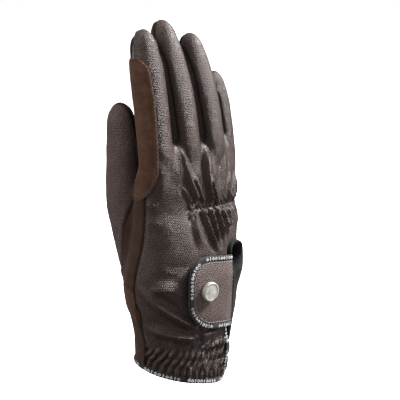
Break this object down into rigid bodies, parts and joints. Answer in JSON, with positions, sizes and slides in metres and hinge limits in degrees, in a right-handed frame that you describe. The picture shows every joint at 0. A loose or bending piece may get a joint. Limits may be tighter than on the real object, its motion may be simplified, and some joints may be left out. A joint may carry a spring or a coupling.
{
  "type": "horse riding glove",
  "caption": "Slim dark brown horse riding glove for the right hand, gathered at the back of the hand and cuff, with a fastened tab.",
  "frame": {"origin": "centre of the wrist opening, at its hem", "axes": "+X towards the little finger, +Y out of the palm (the back of the hand faces -Y), +Z towards the fingertips"},
  "size_m": [0.091, 0.0645, 0.2377],
  "materials": {
    "embossed_leather": "fine embossed grain, soft sheen",
    "suede": "matte brown suede",
    "smooth_leather": "smooth, slightly glossy",
    "woven_binding": "black woven ribbon with a plain white motif",
    "stretch_fabric": "matte black stretch fabric",
    "hook_and_loop": "black hook-and-loop pile",
    "nickel": "satin nickel"
  },
  "bodies": {
    "root": {"back_panel": "embossed_leather", "thumb_back": "embossed_leather", "tab": "embossed_leather", "side_strip_index_middle": "embossed_leather", "side_strip_middle_ring": "embossed_leather", "side_strip_ring_little": "embossed_leather", "palm_panel": "suede", "thumb_front": "suede", "index_patch": "suede", "heel_patch": "suede", "index_fingertip": "smooth_leather", "hem_binding": "woven_binding", "tab_binding": "woven_binding", "slit_facing": "stretch_fabric", "closure_pad": "hook_and_loop", "tab_cap": "nickel"}
  },
  "joints": []
}
